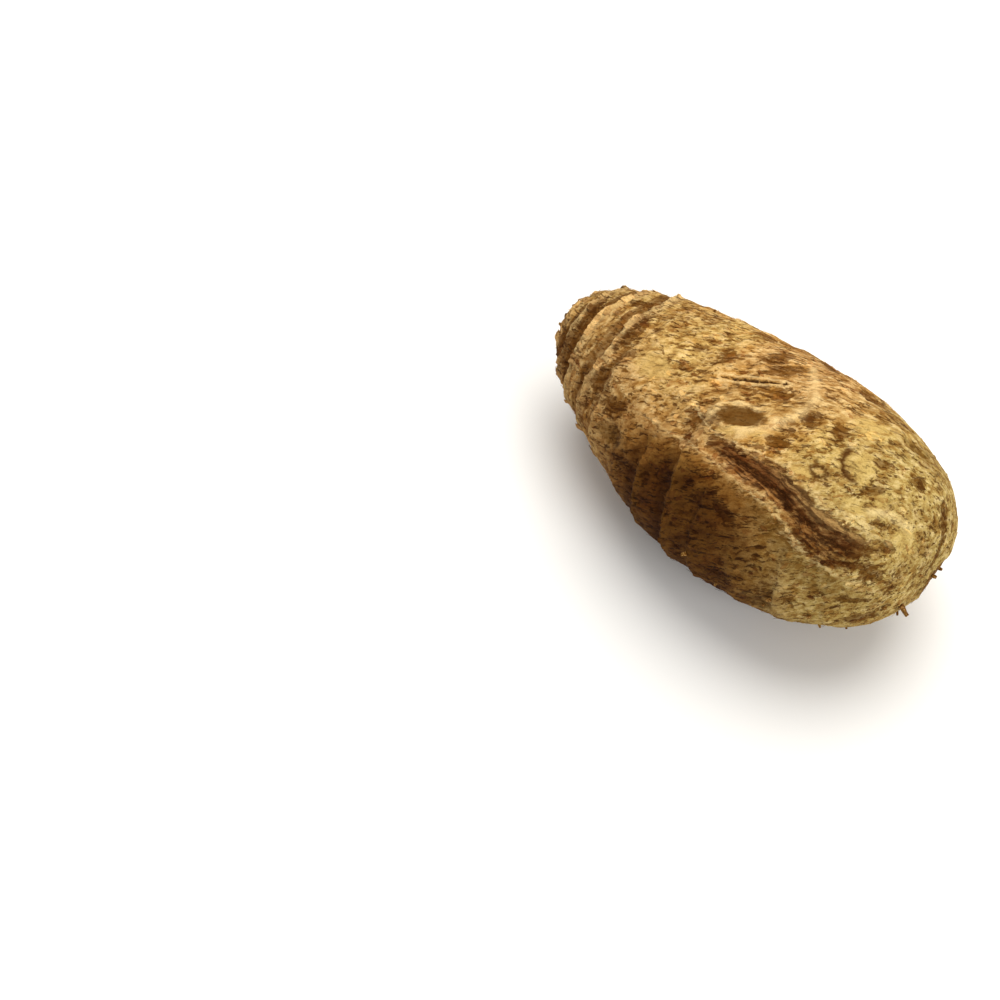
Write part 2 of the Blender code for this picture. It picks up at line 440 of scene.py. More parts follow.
def markMesh(mesh):  # writes the corm's own coordinates and gaps on each point
    points = np.empty(len(mesh.vertices) * 3)
    mesh.vertices.foreach_get("co", points)
    local = intoCorm(points.reshape(-1, 3))
    along = local[:, 0]
    angle = angleRound(local)
    radius = np.hypot(local[:, 1], local[:, 2])
    gap, weight, margin = ringFields(along, angle)
    across, opened = furrowFields(along, angle, radius)
    base = spots["baseScar"]
    fromScar = np.hypot(local[:, 1] - base["side"], local[:, 2] - base["up"])

    def oval(name):
        one = {"turn": 0.0, "stretch": 1.0, **spots[name]}
        centre = (one["along"], one["angle"])
        return ovalGap(along, angle, radius, centre, one["radius"], one["turn"], one["stretch"])

    fields = {
        "ringGap": gap,
        "ringWeight": weight,
        "ringMargin": margin,
        "furrowGap": np.clip(across, -0.05, 0.05),
        "furrowOpen": opened,
        "budGap": budFields(along, angle, radius),
        "eyeGap": oval("eye"),
        "knotGap": oval("knot"),
        "mainBudGap": oval("mainBud"),
        "crackGap": lineGap(along, angle, radius, spots["cracks"], spots["crackThins"]),
        "ridgeGap": lineGap(along, angle, radius, spots["ridges"]),
        "baseGap": np.where(along > growth["length"] / 2.0, fromScar / base["radius"], 9.0),
        "darkMark": stainDepth(along, angle, radius, darkMarks),
        "paleMark": stainDepth(along, angle, radius, paleMarks),
    }
    for name, values in {**fields, "barkPlace": local}.items():
        writeOn(mesh, name, values)


fieldNames = (
    "ringGap", "ringWeight", "ringMargin", "furrowGap", "furrowOpen", "budGap", "mainBudGap",
    "eyeGap", "knotGap", "crackGap", "ridgeGap", "baseGap", "darkMark", "paleMark",
)


def attributesIn(tree, forShader):  # the marked fields as wires, in either kind of tree
    first = wire(tree, None)
    if forShader:
        found = {name: first.painted(name) for name in fieldNames}
        return {**found, "barkPlace": first.painted("barkPlace", 1)}
    found = {name: first.stored(name) for name in fieldNames}
    return {**found, "barkPlace": first.stored("barkPlace", "FLOAT_VECTOR")}


bark = {
    "spiral": 11.0,  # radians that the grain turns in a metre
    "wobbleSize": 0.0065,
    "wobble": 0.0014,
    "broadSize": 0.055,
    "hueSize": 0.014,
    "patchSize": 0.011,
    "mottleSize": 0.0030,
    "fleckSize": 0.0023,
    "fleckLevel": 0.585,
    "dashLevel": 0.60,
    "stainLevel": 0.36,
    "fibreSize": 0.0009,
    "hoopSize": 0.0021,
    "grainSize": 0.0005,
    "ringStray": 0.0032,
    "scarSize": 0.0125,
    "scarRadius": 0.0009,
    "tipFade": (0.006, 0.034),  # along the corm, from here to there, as in the rest
    "crownFade": (0.030, 0.075),
    "bellyShadeFade": (0.040, 0.085),
    "belowFade": (0.046, 0.092),
    "furrowOpens": (0.102, 0.121),
    "bankFade": (0.112, 0.135),
    "endFade": (0.118, 0.176),
    "lipFade": (0.126, 0.150),
    "furrowCloses": (0.171, 0.186),
}


def barkFields(tree, forShader):  # what the bark looks like at each place, mostly from 0 to 1
    read = attributesIn(tree, forShader)
    place = read["barkPlace"]
    edge = 0.035 if forShader else 0.10  # flecks have crisp edges in colour, soft ones in the mesh
    along = place.node("ShaderNodeSeparateXYZ", {}, {0: place}, 0)
    sideways = along.also("Y")
    spiral = {"Vector": place, "Angle": along * bark["spiral"]}
    spun = place.node("ShaderNodeVectorRotate", {"rotation_type": "X_AXIS"}, spiral)
    shift = place.stir(1.0 / bark["wobbleSize"]).scaled(*[bark["wobble"] * 2.0] * 3)
    bent = spun.vector("ADD", shift)
    plain = place.vector("ADD", shift)

    made = {"place": place, "along": along}
    made["crown"] = 1.0 - along.step(*bark["crownFade"])
    made["end"] = along.step(*bark["endFade"])
    made["broad"] = place.grain(bark["broadSize"], 1.0).step(0.35, 0.65)
    made["hue"] = bent.grain(bark["hueSize"], 3.0)
    made["patch"] = bent.grain(bark["patchSize"], 3.0, 0.6).step(0.48, 0.66)
    made["mottle"] = bent.scaled(0.75, 1.0, 1.0).grain(bark["mottleSize"], 4.0, 0.65)
    dense = made["patch"] * 0.070 + read["darkMark"] * 0.10 - read["paleMark"] * 0.05
    level = bent.scaled(0.62, 1.0, 1.0).grain(bark["fleckSize"], 4.0, 0.66) + dense
    made["fleck"] = level.step(bark["fleckLevel"], bark["fleckLevel"] + edge)
    dashes = bent.scaled(0.22, 1.0, 1.0).grain(bark["fleckSize"] * 0.62, 3.0, 0.6)
    made["dash"] = (dashes + dense * 0.7).step(bark["dashLevel"], bark["dashLevel"] + edge)
    made["fibre"] = bent.scaled(0.12, 1.0, 1.0).grain(bark["fibreSize"], 3.0, 0.6)
    made["hoop"] = plain.scaled(1.0, 0.16, 0.16).grain(bark["hoopSize"], 3.0, 0.6)  # lines round the crown
    made["grain"] = place.grain(bark["grainSize"], 3.0, 0.6)
    # dark stains, with one painted shade on the crown's lower side
    stain = read["darkMark"] + (bent.scaled(0.55, 1.0, 1.0).grain(0.0026, 4.0, 0.68) - 0.5) * 1.50
    stain = stain.step(bark["stainLevel"], bark["stainLevel"] + edge * 3.0)
    made["stain"] = stain * read["darkMark"].step(0.12, 0.40)
    made["paleMark"] = (read["paleMark"] + (bent.grain(0.0040, 3.0) - 0.5) * 0.9).step(0.30, 0.62)

    wander = (place.grain(0.0085, 3.0, 0.6) - 0.5) * bark["ringStray"] * 2.0
    gap = read["ringGap"] + wander
    weight = read["ringWeight"] * read["ringMargin"].step(0.0, 0.0030)
    broken = bent.grain(0.0060, 3.0, 0.6).step(0.40, 0.60)
    cut = weight.step(0.45, 0.85) * 0.75 + weight.step(0.05, 0.45) * 0.25
    made["groove"] = (gap + 0.0009).bell(0.0009) * cut
    made["valley"] = (gap + 0.0034).bell(0.0030) * weight.step(0.30, 0.70)
    made["rim"] = (gap - 0.0006).bell(0.0010) * weight.step(0.30, 0.65) * (broken * 0.7 + 0.3)
    made["crest"] = (gap - 0.0024).bell(0.0024) * weight.step(0.30, 0.70)
    ridge = read["ridgeGap"] + (bent.grain(0.0040, 2.0) - 0.5) * 0.0022
    made["ridge"] = ridge.bell(0.0018) * (broken * 0.5 + 0.5)

    # the furrow: strands along it, dark down its middle with a thin painted shadow line along its upper side,
    # torn at both hems
    lane = place.node("ShaderNodeCombineXYZ", {}, {0: along * 0.10, 1: read["furrowGap"]})
    lane = lane.vector("ADD", shift)
    strand = lane.grain(0.0017, 4.0, 0.65)
    tongues = lane.scaled(2.2, 1.0, 1.0).grain(0.0042, 3.0, 0.65)
    frayed = read["furrowGap"] + (bent.scaled(0.35, 1.0, 1.0).grain(0.0038, 4.0, 0.70) - 0.5) * 0.0090
    frayed = frayed + (tongues - 0.5) * 0.0090
    opened = read["furrowOpen"] * (place.grain(0.014, 2.0).step(0.15, 0.42) * 0.5 + 0.5)
    opened = opened * (along.step(*bark["furrowOpens"]) * 0.90 + 0.10)
    opened = opened * (1.0 - along.step(*bark["furrowCloses"]) * 0.9)
    made["furrow"] = (1.0 - frayed.math("ABSOLUTE").step(0.0036, 0.0076)) * opened
    made["upper"] = frayed.step(-0.0030, 0.0015)
    made["lip"] = frayed.step(0.0004, 0.0040) * along.step(*bark["lipFade"])
    # painted shade in an olive tone along the furrow's lower hem, which also dims the pale hem line there
    made["bank"] = (frayed + 0.0115).bell(0.0045) * read["furrowOpen"] * along.step(*bark["bankFade"])
    middle = frayed + (strand - 0.5) * 0.0060
    # a dark line down the middle, and a thinner painted shadow line along the upper side
    made["furrowCore"] = ((middle + 0.0006).bell(0.0012) + (middle - 0.0050).bell(0.0006) * 0.6) * opened
    made["strand"] = strand
    hem = frayed.math("ABSOLUTE") - 0.0076
    made["furrowEdge"] = hem.bell(0.0009) * read["furrowOpen"] * (broken * 0.7 + 0.3)
    # below the furrow: partly the skin's own darker brown, partly painted shade
    under = read["furrowGap"] * -1.0 + wander * 1.5
    side = under.step(0.0050, 0.0150) * (1.0 - made["end"] * 0.85)
    made["below"] = side * (along.step(*bark["belowFade"]) * 0.70 + 0.30)
    # the underside, further below the furrow: painted shade
    made["bellyShade"] = under.step(0.010, 0.030) * (1.0 - made["end"] * 0.90)
    made["bellyShade"] = made["bellyShade"] * along.step(*bark["bellyShadeFade"])

    fray = (bent.grain(0.0030, 3.0, 0.6) - 0.5) * 0.9
    bud = read["budGap"] + fray
    made["bud"] = 1.0 - bud.step(0.70, 1.10)
    made["budRim"] = (bud - 1.25).bell(0.20) * broken
    mainBud = read["mainBudGap"] * 0.90 + fray * 0.80
    made["mainBud"] = 1.0 - mainBud.step(0.88, 1.22)
    made["mainRim"] = (mainBud - 1.36).bell(0.20) * (broken * 0.8 + 0.2)
    eye = read["eyeGap"] + (bent.grain(0.003, 2.0) - 0.5) * 0.5
    made["eyeRing"] = (eye - 1.0).bell(0.15) * (spots["eye"]["along"] - along - sideways).step(0.0010, 0.0060)
    made["eye"] = 1.0 - eye.step(0.70, 0.95)
    knot = read["knotGap"] + (bent.grain(0.0016, 3.0) - 0.5) * 1.1
    made["knot"] = (knot - 0.95).bell(0.36)
    made["knotCore"] = 1.0 - knot.step(0.40, 0.70)
    crack = read["crackGap"] + (bent.grain(0.0018, 3.0, 0.6) - 0.5) * 0.0022
    made["crack"] = 1.0 - crack.step(0.00030, 0.00095)
    made["crackEdge"] = (crack - 0.0018).bell(0.0006)

    torn = read["baseGap"] + (place.grain(0.0045, 3.0, 0.6) - 0.5) * 0.7
    made["baseScar"] = 1.0 - torn.step(0.84, 1.06)
    made["baseRim"] = (torn - 1.20).bell(0.13) * (broken * 0.6 + 0.4)
    made["cork"] = place.scaled(0.6, 1.0, 1.0).grain(0.0018, 4.0, 0.7)

    warped = plain.vector("ADD", shift)
    cells = {"Vector": warped, "Scale": 1.0 / bark["scarSize"], "Randomness": 0.9}
    scars = place.node("ShaderNodeTexVoronoi", {"voronoi_dimensions": "3D"}, cells)
    chosen = scars.also("Color").vector("DOT_PRODUCT", (1.0, 0.0, 0.0), out=1).step(0.44, 0.46)
    chosen = chosen * read["mainBudGap"].step(1.5, 2.1)
    away = scars * bark["scarSize"]
    made["rootScar"] = (1.0 - away.step(bark["scarRadius"] * 0.5, bark["scarRadius"] * 1.3)) * chosen
    made["rootRim"] = (away - bark["scarRadius"] * 1.7).bell(0.0005) * chosen
    return made


relief = {
    "Fleck depth": 0.00018,
    "Mottle height": 0.00070,
    "Patch depth": 0.00030,
    "Rim height": 0.00055,
    "Groove depth": 0.00080,
    "Fibre height": 0.00022,
    "Scar depth": 0.00055,
    "Lump height": 0.00100,
    "Furrow depth": 0.00080,
}


def skinTree(material):
    tree, sizes = geometryTree("corm skin", relief)
    made = barkFields(tree, False)
    place = made["place"]
    height = sizes["Lump height"] * (place.grain(0.010, 2.0) - 0.5)
    height = height - sizes["Mottle height"] * (made["mottle"] - 0.5)
    height = height - sizes["Patch depth"] * (made["patch"] + made["stain"])
    height = height - sizes["Fleck depth"] * (made["fleck"] + made["dash"])
    height = height + sizes["Rim height"] * (made["rim"] + made["ridge"] * 1.2)
    height = height - sizes["Groove depth"] * (made["groove"] + 0.5 * made["valley"])
    height = height + sizes["Fibre height"] * (made["fibre"] + made["hoop"] * made["crown"] * 2.0 - 1.0)
    pits = made["rootScar"] + made["knot"] + made["crack"] * 1.3 + 0.7 * made["eyeRing"]
    edges = 0.6 * made["rootRim"] + 0.5 * made["budRim"] + 0.8 * made["mainRim"] + 0.4 * made["crackEdge"]
    height = height + sizes["Scar depth"] * (edges - pits)
    height = height + sizes["Scar depth"] * (made["baseRim"] - made["baseScar"] * made["cork"] * 2.0)
    torn = made["furrow"] * (made["strand"] - 0.8)
    height = height + sizes["Furrow depth"] * (0.7 * made["furrowEdge"] - made["furrowCore"] + torn)

    here = place.node("GeometryNodeInputPosition", {}, {})
    outward = place.node("GeometryNodeInputNormal", {}, {})
    low = here.node("ShaderNodeSeparateXYZ", {}, {0: here}, 2)
    height = height * low.step(0.0001, 0.004)  # the resting spot stays flat
    shaped = {"Geometry": sizes["Geometry"], "Offset": outward.times(height)}
    endTree(tree, place.node("GeometryNodeSetPosition", {}, shaped), material)
    return tree


cageSizes = {"weld": 0.000005, "faceAngle": 50, "shapeAngle": 60, "levels": 2}


def smoothCage():  # the frame's solid as one finer surface, its loops running along the rings
    shape = bmesh.new()
    shape.from_mesh(cadNode.data)
    bmesh.ops.remove_doubles(shape, verts=shape.verts, dist=cageSizes["weld"])
    limits = {
        "angle_face_threshold": math.radians(cageSizes["faceAngle"]),
        "angle_shape_threshold": math.radians(cageSizes["shapeAngle"]),
    }
    bmesh.ops.join_triangles(shape, faces=shape.faces, **limits)
    cage = bpy.data.meshes.new("cage")
    shape.to_mesh(cage)
    shape.free()
    cage.materials.clear()
    holder = addObject("cage_holder", cage)
    finer = holder.modifiers.new("finer", "SUBSURF")
    finer.levels = finer.render_levels = cageSizes["levels"]
    return plainMesh(holder)


# materials
tones = {
    "straw": paint(214, 178, 104),
    "tan": paint(200, 156, 95),
    "ochre": paint(196, 142, 66),
    "moss": paint(188, 160, 90),
    "olive": paint(120, 86, 34),
    "umber": paint(138, 90, 30),
    "brown": paint(106, 64, 16),
    "dark": paint(78, 42, 8),
    "deep": paint(46, 20, 3),
    "scar": paint(98, 63, 18),
    "red": paint(112, 58, 22),
    "peel": paint(238, 204, 142),
}


shades = {
    # multiplied in below the furrow: partly the skin's own darker brown, partly painted shade
    "below": (0.48, 0.36, 0.19, 1.0),
    # multiplied in over the underside: painted shade
    "bellyShade": (0.36, 0.29, 0.19, 1.0),
    "end": (0.89, 0.97, 0.98, 1.0),
    "furrow": (0.70, 0.53, 0.39, 1.0),
    # a darker tone over the crown, used also as painted shade at its tip
    "crown": (0.60, 0.55, 0.46, 1.0),
    "paler": (1.75, 1.70, 1.60, 1.0),
}


def layered(colour, layers):  # in turn, each tone laid over the colour, or each shade multiplied in
    for share, name in layers:
        if name in shades:
            colour = share.blend(colour, shades[name], "MULTIPLY")
        else:
            colour = share.blend(colour, tones[name])
    return colour


def barkColour(made):
    hue, mottle, crown = made["hue"], made["mottle"], made["crown"]
    # pale patches, fewer where shade is painted below the furrow
    bright = (1.0 - mottle.step(0.34, 0.52)) * (1.0 - made["below"] * 0.50)
    clear = 1.0 - made["paleMark"] * 0.6
    furrow, strand, upper = made["furrow"], made["strand"], made["upper"]
    # painted shade over the crown's tip, deeper on its lower side
    tip = (1.0 - made["along"].step(*bark["tipFade"])) * (made["below"] * 0.6 + 0.4)
    layers = (
        (hue.step(0.50, 0.66) * 0.75, "ochre"),
        ((1.0 - hue.step(0.34, 0.46)) * 0.35, "olive"),
        (made["end"] * 0.65, "moss"),
        (bright * 0.70, "peel"),
        (mottle.step(0.47, 0.64) * 0.72, "umber"),
        (made["patch"] * 0.50, "umber"),
        (made["paleMark"] * 0.60, "straw"),
        (made["eye"] * 0.30, "straw"),
        (made["fibre"].step(0.50, 0.70) * 0.45, "brown"),
        (made["hoop"].step(0.52, 0.66) * crown * 0.75, "brown"),
        ((1.0 - made["hoop"].step(0.36, 0.46)) * crown * 0.50, "peel"),
        (made["crest"] * 0.55, "peel"),
        (made["valley"] * 0.80, "brown"),
        (made["stain"] * 0.72, "brown"),
        (made["fleck"] * clear * 0.75, "brown"),
        (made["dash"] * clear * 0.80, "dark"),
        (made["groove"] * 0.90, "dark"),
        ((made["rim"] + made["ridge"]) * 0.75, "peel"),
        # painted shade along the furrow's lower hem
        (made["bank"] * 0.55, "olive"),
        (furrow * (upper * 0.35 + 0.48), "red"),
        (furrow * strand.step(0.47, 0.60) * 0.80, "deep"),
        (furrow * (1.0 - strand.step(0.37, 0.45)) * (0.60 - upper * 0.20), "tan"),
        (furrow * 0.75, "furrow"),
        (furrow * made["lip"] * (0.68 - strand.step(0.46, 0.56) * 0.50), "tan"),
        (made["furrowCore"] * 0.88, "deep"),
        (made["furrowEdge"] * (0.80 - made["bank"] * 0.40), "peel"),
        (made["bud"] * 0.45, "olive"),
        (made["budRim"] * 0.30, "peel"),
        (made["mainBud"] * 0.90, "scar"),
        (made["mainBud"] * (made["fibre"] + mottle * 0.5).step(0.70, 0.90) * 0.45, "brown"),
        (made["mainRim"] * 0.85, "peel"),
        (made["eyeRing"] * 0.95, "dark"),
        (made["rootRim"] * 0.30, "straw"),
        (made["rootScar"] * 0.70, "dark"),
        (made["knot"] * 0.90, "dark"),
        (made["knotCore"] * 0.50, "tan"),
        (made["crackEdge"] * 0.60, "peel"),
        (made["crack"] * 0.95, "deep"),
        (made["baseRim"] * 0.45, "straw"),
        (made["baseScar"] * 0.85, "umber"),
        (made["baseScar"] * made["cork"].step(0.44, 0.58) * 0.85, "dark"),
        (made["grain"].step(0.45, 0.75) * 0.35, "brown"),
        (made["end"], "end"),
        (crown * 0.30, "crown"),
        # painted shade: below the furrow (partly the skin's own darker brown), over the underside and at the
        # crown's tip
        (made["below"], "below"),
        (made["bellyShade"], "bellyShade"),
        (tip, "crown"),
    )
    return layered(made["broad"].blend(tones["straw"], tones["tan"]), layers)


def barkHeight(made):  # the fine relief that only the light shows
    height = made["fibre"] * 0.7 + made["grain"] * 0.35
    height = height + made["hoop"] * made["crown"] * 0.8 - made["mottle"] * 0.8
    height = height - made["fleck"] * 0.35 - made["dash"] * 0.5 - made["stain"] * 0.3
    height = height + made["rim"] * 0.6 - made["groove"] * 0.6 - made["rootScar"] * 0.6 - made["crack"]
    return height + made["furrow"] * (made["strand"] - 0.6) * 1.6


skinFinish = {"bump": 0.85, "depth": 0.00060, "specular": 0.06}


def skinMaterial():
    material = startMaterial("taro bark")
    made = barkFields(material.node_tree, True)
    rough = 0.84 - made["mainBud"] * 0.20 - made["furrow"] * 0.10 + made["fleck"] * 0.08
    return endMaterial(material, barkColour(made), rough, barkHeight(made), skinFinish)


skinBark = skinMaterial()
cage = smoothCage()
markMesh(cage)
skin = grow("corm_skin", cage, skinTree(skinBark), relief)
skin.data.shade_smooth()
keep(skin, "taro_corm")
print("skin made")


# bits of bark: ragged sheaths on the rings, flakes and loose fibres, all grown by one tree
def bitTree(material):
    shape = {
        "Per square metre": 20000.0,
        "Everywhere": 0.2,
        "On rings": 1.0,
        "On the crown": 1.0,
        "By the furrow": 1.0,
        "At the tip": 0.0,
        "Shortest": 0.002,
        "Longest": 0.006,
        "Narrowest": 0.0012,
        "Widest": 0.0030,
        "Thickness": 0.00022,
        "Taper": 0.6,
        "Rise": 0.0006,
        "Sink": 0.00010,
        "Ragged": 0.0010,
        "Ragged size": 0.0013,
        "Turn": 0.5,
        "Spiral": 0.0,
        "Cells long": 3,
        "Cells wide": 2,
        "Seed": 1,
    }
    tree, sizes = geometryTree("bark bits", shape)
    surface = sizes["Geometry"]
    read = attributesIn(tree, False)
    place = read["barkPlace"]
    along = place.node("ShaderNodeSeparateXYZ", {}, {0: place}, 0)
    here = surface.node("GeometryNodeInputPosition", {}, {})
    outward = surface.node("GeometryNodeInputNormal", {}, {})
    low = here.node("ShaderNodeSeparateXYZ", {}, {0: here}, 2)

    # where they grow
    weight = read["ringWeight"] * read["ringMargin"].step(0.0, 0.0030)
    crest = (read["ringGap"] - 0.0010).bell(0.0016) * weight.step(0.30, 0.75)
    crown = 1.0 - along.step(0.020, 0.060)
    across = read["furrowGap"].math("ABSOLUTE")
    furrow = (across - 0.0068).bell(0.0018) * read["furrowOpen"]
    clump = place.grain(0.009, 2.0).step(0.40, 0.60) * (1.0 - crown * 0.7)
    wanted = sizes["Everywhere"] * clump + sizes["On rings"] * crest
    wanted = wanted + sizes["On the crown"] * crown + sizes["By the furrow"] * furrow
    wanted = wanted + sizes["At the tip"] * (1.0 - along.step(0.002, 0.009))
    open = 1.0 - read["furrowOpen"] * (1.0 - across.step(0.0040, 0.0060)) * 0.7
    bare = read["mainBudGap"].step(1.2, 1.6) * read["eyeGap"].step(1.0, 1.4)
    bare = bare * read["crackGap"].step(0.0018, 0.0035)
    wanted = wanted * low.step(0.003, 0.008) * open * bare * read["knotGap"].step(1.2, 1.6)
    spread = {"Mesh": surface, "Density": wanted * sizes["Per square metre"], "Seed": sizes["Seed"]}
    points = surface.node("GeometryNodeDistributePointsOnFaces", {"distribute_method": "RANDOM"}, spread)

    # one bit, 1 long and 1 wide, root at -0.5 and tip at 0.5
    block = {"Vertices X": sizes["Cells long"] + 1.0, "Vertices Y": sizes["Cells wide"] + 1.0}
    bit = surface.node("GeometryNodeMeshCube", {}, {**block, "Vertices Z": 2})
    corner = here.node("ShaderNodeSeparateXYZ", {}, {0: here})
    reach = corner + 0.5
    across = corner.also("Y")
    bit = bit.store("reach", reach).store("side", across.math("ABSOLUTE") * 2.0)
    bit = bit.store("level", corner.also("Z") * 2.0)
    narrower = across * (1.0 - sizes["Taper"] * reach ** 2.0)
    tapered = corner.node("ShaderNodeCombineXYZ", {}, {0: corner, 1: narrower, 2: 0.0})
    bit = bit.node("GeometryNodeSetPosition", {}, {"Geometry": bit, "Position": tapered})

    # set on the points, tips towards the crown
    def drawn(low, high, seed):  # a number of its own for each bit
        values = {2: low, 3: high, 8: sizes["Seed"] + seed}
        return surface.node("FunctionNodeRandomValue", {"data_type": "FLOAT"}, values, 1)

    facing = {"Primary Axis": points.also("Normal"), "Secondary Axis": (-1.0, 0.0, 0.0)}
    axes = surface.node("FunctionNodeAxesToRotation", {"primary_axis": "Z", "secondary_axis": "X"}, facing)
    turn = drawn(sizes["Turn"] * -1.0, sizes["Turn"], 0.0) + sizes["Spiral"]
    turned = {"Axis": (0.0, 0.0, 1.0), "Angle": turn}
    spin = surface.node("FunctionNodeAxisAngleToRotation", {}, turned)
    rotation = surface.node("FunctionNodeRotateRotation", {"rotation_space": "LOCAL"}, {0: axes, 1: spin})
    length = drawn(sizes["Shortest"], sizes["Longest"], 1.0)
    width = drawn(sizes["Narrowest"], sizes["Widest"], 2.0)
    size = surface.node("ShaderNodeCombineXYZ", {}, {0: length, 1: width, 2: 1.0})
    placed = {"Points": points, "Instance": bit, "Rotation": rotation, "Scale": size}
    bits = surface.node("GeometryNodeInstanceOnPoints", {}, placed)
    bits = bits.store("tone", drawn(0.0, 1.0, 3.0), "INSTANCE")
    bits = bits.store("curl", drawn(0.0, 1.0, 4.0), "INSTANCE")
    bits = bits.node("GeometryNodeRealizeInstances", {}, {"Geometry": bits})

    # torn at the edges, then laid on the skin
    reach, side, level, curl = (surface.stored(name) for name in ("reach", "side", "level", "curl"))
    torn = here.stir(1.0 / sizes["Ragged size"]).times(sizes["Ragged"] * (reach + 0.25))
    spot = here.vector("ADD", torn)

    def nearest(value):  # a value of the skin, at the nearest place
        values = {"Mesh": surface, "Value": value, "Sample Position": spot}
        return surface.node("GeometryNodeSampleNearestSurface", {"data_type": "FLOAT_VECTOR"}, values)

    height = sizes["Rise"] * curl * reach ** 1.6
    height = height - sizes["Sink"] + level * sizes["Thickness"] * 0.5 * (1.0 - side * 0.6)
    lifted = nearest(outward).vector("NORMALIZE").times(height)
    bits = bits.store("barkPlace", nearest(place), kind="FLOAT_VECTOR")
    laid = {"Geometry": bits, "Position": nearest(here).vector("ADD", lifted)}
    endTree(tree, bits.node("GeometryNodeSetPosition", {}, laid), material)
    return tree


bitFinish = {"bump": 0.7, "depth": 0.00035, "specular": 0.08}


def bitMaterial(name, paler, darker):  # the bark's own colour, each bit a little paler or darker
    material = startMaterial(name)
    made = barkFields(material.node_tree, True)
    first = wire(material.node_tree, None)
    tone, reach, side = (first.painted(label) for label in ("tone", "reach", "side"))
    fine = first.node("ShaderNodeTexCoord", {}, {}, 3).grain(0.0007, 3.0, 0.65)
    # bits a little paler, less so where shade is painted below the furrow
    light = (1.0 - tone.step(0.10, 0.60)) * (1.0 - made["furrow"]) * (1.0 - made["below"] * 0.60)
    layers = (
        (light * paler, "paler"),
        (tone.step(0.50, 0.95) * darker, "furrow"),
        (fine.step(0.42, 0.70) * 0.40, "furrow"),
        ((side ** 3.0) * 0.40 + (1.0 - reach.step(0.0, 0.30)) * 0.50, "furrow"),
    )
    colour = layered(barkColour(made), layers)
    return endMaterial(material, colour, 0.80 + fine * 0.12, fine + made["fibre"] * 0.8, bitFinish)


sheaths = {
    "Per square metre": 70000.0,
    "Everywhere": 0.0,
    "On rings": 1.0,
    "On the crown": 0.10,
    "By the furrow": 0.0,
    "Shortest": 0.0016,
    "Longest": 0.0036,
    "Narrowest": 0.0030,
    "Widest": 0.0085,
    "Taper": 0.15,
    "Rise": 0.0012,
    "Ragged": 0.0020,
    "Turn": 0.12,
    "Cells long": 2,
    "Cells wide": 6,
    "Seed": 3,
}
flakes = {
    "Per square metre": 42000.0,
    "Everywhere": 1.0,
    "On rings": 0.2,
    "On the crown": 0.0,
    "By the furrow": 1.6,
    "Shortest": 0.0016,
    "Longest": 0.0048,
    "Narrowest": 0.0010,
    "Widest": 0.0028,
    "Taper": 0.4,
    "Rise": 0.00045,
    "Ragged": 0.0018,
    "Turn": 0.9,
    "Spiral": 0.4,
    "Seed": 17,
}
fibres = {
    "Per square metre": 26000.0,
    "Everywhere": 0.7,
    "On rings": 1.2,
    "On the crown": 1.2,
    "By the furrow": 2.2,
    "Shortest": 0.0030,
    "Longest": 0.0085,
    "Narrowest": 0.00014,
    "Widest": 0.00030,
    "Thickness": 0.00020,
    "Taper": 0.7,
    "Rise": 0.0010,
    "Sink": 0.0,
    "Ragged": 0.0022,
    "Ragged size": 0.0035,
    "Turn": 0.45,
    "Spiral": 0.35,
    "Cells long": 6,
    "Cells wide": 1,
    "Seed": 29,
}
leafBases = {  # what is left of the leaves, closing over the crown's tip
    "Per square metre": 90000.0,
    "Everywhere": 0.0,
    "On rings": 0.0,
    "On the crown": 0.0,
    "By the furrow": 0.0,
    "At the tip": 1.0,
    "Shortest": 0.0040,
    "Longest": 0.0080,
    "Narrowest": 0.0018,
    "Widest": 0.0045,
    "Thickness": 0.00030,
    "Taper": 0.75,
    "Rise": 0.0018,
    "Ragged": 0.0016,
    "Turn": 0.35,
    "Cells long": 6,
    "Cells wide": 3,
    "Seed": 53,
}
bitKinds = (
    ("leaf_bases", leafBases, 0.50, 0.8),
    ("bark_sheaths", sheaths, 0.55, 0.5),
    ("bark_flakes", flakes, 0.45, 0.8),
    ("bark_fibres", fibres, 0.60, 0.7),
)
for name, sizes, paler, darker in bitKinds:
    piece = grow(name, skin.data.copy(), bitTree(bitMaterial(name, paler, darker)), sizes)
    keep(piece)
print("bits of bark made")


# root stubs: broken root ends, mostly on the fat end and the underside
stubs = {
    "count": 40,
    "seed": 41,
    "chosen": (  # along, angle, length, half thickness
        (0.1930, 330.0, 0.0055, 0.0012),
        (0.1912, 354.0, 0.0014, 0.0011),
        (0.1700, 352.0, 0.0016, 0.0010),
    ),
    "length": (0.0007, 0.0022),
    "thickness": (0.0005, 0.0010),
    "usualRadius": 0.04,
    "anywhere": 0.04,
    "atBase": 0.9,
    "baseStarts": 0.55,
    "underneath": 0.4,
    "underAngle": 185,
    "lowest": 0.006,
    "firstAlong": 0.05,
    "knotty": 600.0,
    "lean": 0.6,
    "leanSeed": 5,
}
stubSizes = {"Sides": 7, "Crooked": 0.0008, "Blunt": 0.70}
stubFinish = {"bump": 0.7, "depth": 0.0003, "specular": 0.08}


